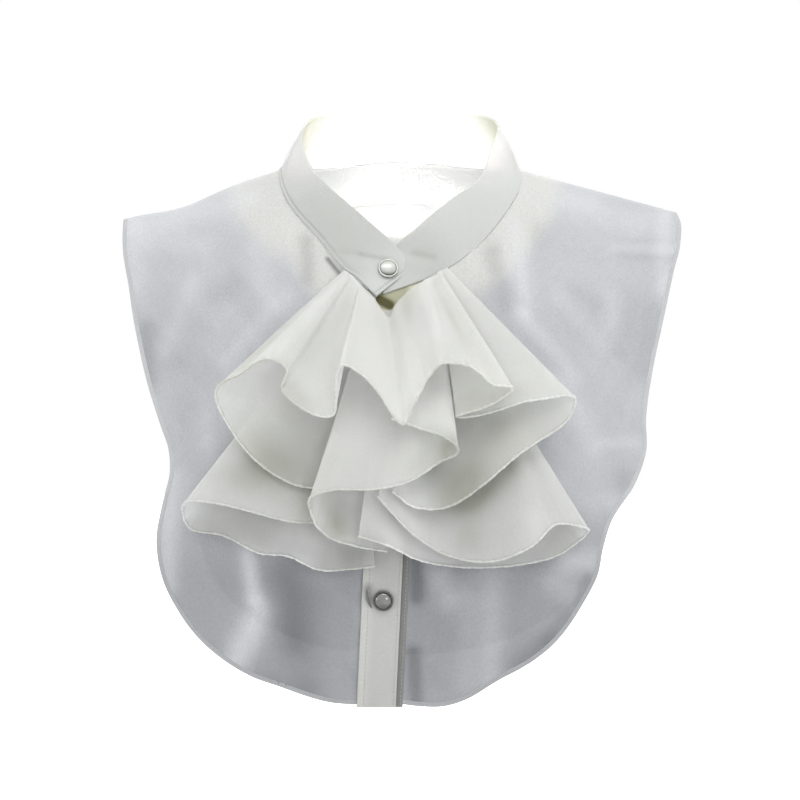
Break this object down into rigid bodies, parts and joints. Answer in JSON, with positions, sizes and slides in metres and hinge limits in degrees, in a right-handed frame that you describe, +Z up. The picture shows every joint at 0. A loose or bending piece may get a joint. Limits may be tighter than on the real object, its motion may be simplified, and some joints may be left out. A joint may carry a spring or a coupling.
{
  "type": "detachable collar",
  "caption": "Detachable chiffon collar: a crossed stand band, a sheer rounded bib front and back, a buttoned placket and a tiered ruffled jabot.",
  "frame": {"origin": "in the middle of the neck opening, level with the shoulder ridge, where a neck holds the collar", "axes": "+Z up along the neck, -Y out of the front, +X to the viewer's right"},
  "size_m": [0.3709, 0.2571, 0.3935],
  "materials": {
    "band": "matte",
    "sheer": "matte",
    "placket": "matte",
    "ruffle": "matte",
    "rim": "polished",
    "pearl": "gloss"
  },
  "bodies": {
    "root": {"collar_band": "band", "front_panel_left": "sheer", "front_panel_right": "sheer", "back_panel": "sheer", "front_placket": "placket", "under_placket": "placket", "jabot_upper": "ruffle", "jabot_middle": "ruffle", "jabot_lower_left": "ruffle", "jabot_lower_right": "ruffle", "neck_button_rim": "rim", "neck_button_pearl": "pearl", "placket_button_rim": "rim", "placket_button_pearl": "pearl"}
  },
  "joints": []
}
